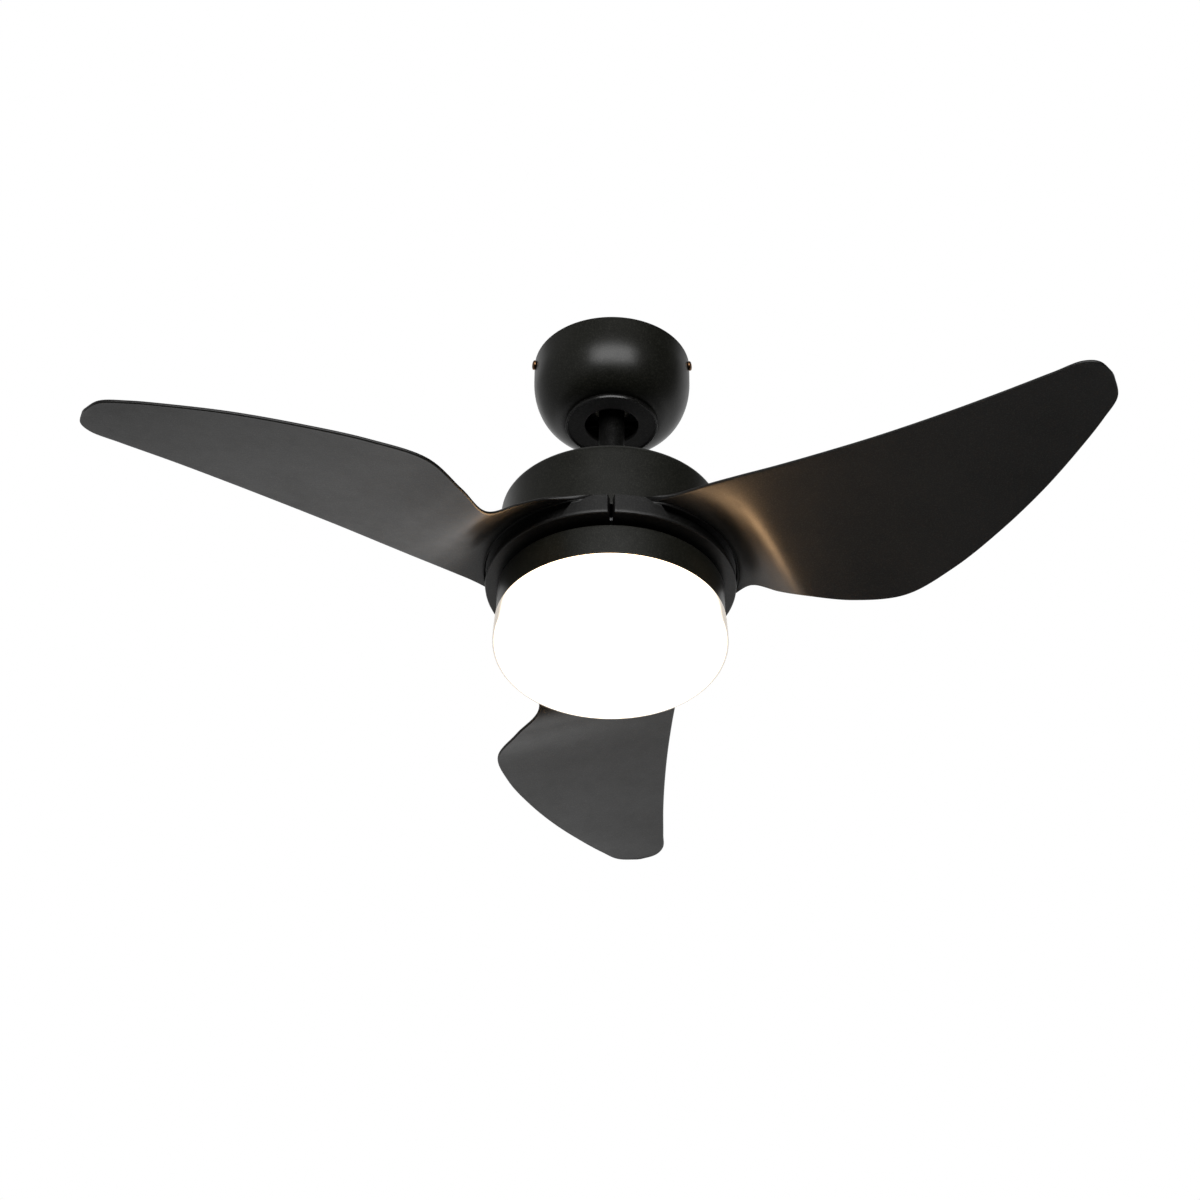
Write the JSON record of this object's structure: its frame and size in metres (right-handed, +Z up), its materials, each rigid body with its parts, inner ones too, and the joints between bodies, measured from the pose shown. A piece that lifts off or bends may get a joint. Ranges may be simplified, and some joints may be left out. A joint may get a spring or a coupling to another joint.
{
  "type": "ceiling fan with light",
  "caption": "Ceiling fan with light: pitched moulded blades on a hub ring, drum motor housing, opal drum shade below, downrod hung by a ball in a ceiling bracket.",
  "frame": {"origin": "on the ceiling plane, on the downrod's axis, at the top face of the hanger bracket", "axes": "+Z up into the ceiling along the downrod and the rotor's axis; +Y along the first blade; -Y is the front; +X to the right seen from the front"},
  "size_m": [0.9461, 0.8532, 0.375],
  "materials": {
    "satin_black_paint": "satin black powder coat, fine texture",
    "black_plastic": "satin black moulded ABS, fine spark texture",
    "dark_plastic": "matt black",
    "bronze": "brown bronze plating",
    "zinc_steel": "bright zinc plating",
    "plain_steel": "plain steel",
    "cast_aluminium": "die cast, slightly rough",
    "laminated_steel": "stacked laminations",
    "copper_wire": "enamelled copper wire",
    "ferrite": "sintered, matt",
    "nylon": "natural nylon",
    "opal_glass": "white opal glass, satin outside, lit",
    "white_board": "white solder mask",
    "green_paint": "green paint"
  },
  "bodies": {
    "ceiling_mount": {"hanger_bracket": "zinc_steel", "canopy_cover": "satin_black_paint", "canopy_trim_ring": "satin_black_paint", "canopy_screw_1": "bronze", "canopy_screw_2": "bronze", "terminal_block": "nylon", "receiver_box": "dark_plastic", "ground_screw": "green_paint"},
    "swing_pin": {"ball_pin": "plain_steel"},
    "drop": {"hanger_ball": "nylon", "downrod": "satin_black_paint", "motor_lead": "dark_plastic", "motor_yoke": "cast_aluminium", "yoke_cover": "satin_black_paint", "yoke_pin": "plain_steel", "yoke_screw_1": "plain_steel", "yoke_screw_2": "plain_steel", "upper_housing": "satin_black_paint", "housing_screw_1": "plain_steel", "housing_screw_2": "plain_steel", "housing_screw_3": "plain_steel", "motor_shaft": "plain_steel", "stator_core": "laminated_steel", "stator_coil_1": "copper_wire", "stator_coil_2": "copper_wire", "stator_coil_3": "copper_wire", "stator_coil_4": "copper_wire", "stator_coil_5": "copper_wire", "stator_coil_6": "copper_wire", "stator_coil_7": "copper_wire", "stator_coil_8": "copper_wire", "stator_coil_9": "copper_wire", "shaft_nut_upper": "plain_steel", "shaft_nut_lower": "plain_steel", "support_plate": "zinc_steel", "light_kit_housing": "satin_black_paint", "kit_screw_1": "plain_steel", "kit_screw_2": "plain_steel", "kit_screw_3": "plain_steel", "led_driver": "white_board", "heat_plate": "cast_aluminium", "led_board": "white_board"},
    "rotor": {"rotor_bell": "cast_aluminium", "rotor_carrier": "cast_aluminium", "magnet_ring": "ferrite", "bearing_upper": "zinc_steel", "bearing_lower": "zinc_steel", "blade_1": "black_plastic", "blade_2": "black_plastic", "blade_3": "black_plastic", "blade_1_screw_1": "plain_steel", "blade_1_screw_2": "plain_steel", "blade_2_screw_1": "plain_steel", "blade_2_screw_2": "plain_steel", "blade_3_screw_1": "plain_steel", "blade_3_screw_2": "plain_steel"},
    "shade": {"shade_ring": "cast_aluminium", "glass_shade": "opal_glass"}
  },
  "joints": [
    {"name": "swing_side", "type": "hinge", "parent": "ceiling_mount", "child": "swing_pin", "pos_m": [0, 0, -0.042], "axis": [0, 1, 0], "range_deg": [-12, 12]},
    {"name": "swing_front", "type": "hinge", "parent": "swing_pin", "child": "drop", "pos_m": [0, 0, -0.042], "axis": [1, 0, 0], "range_deg": [-12, 12]},
    {"name": "rotor_spin", "type": "hinge", "parent": "drop", "child": "rotor", "pos_m": [0, 0, -0.275], "axis": [0, 0, 1], "continuous": true},
    {"name": "shade_twist", "type": "hinge", "parent": "drop", "child": "shade", "pos_m": [0, 0, -0.325], "axis": [0, 0, 1], "range_deg": [0, 20]}
  ]
}
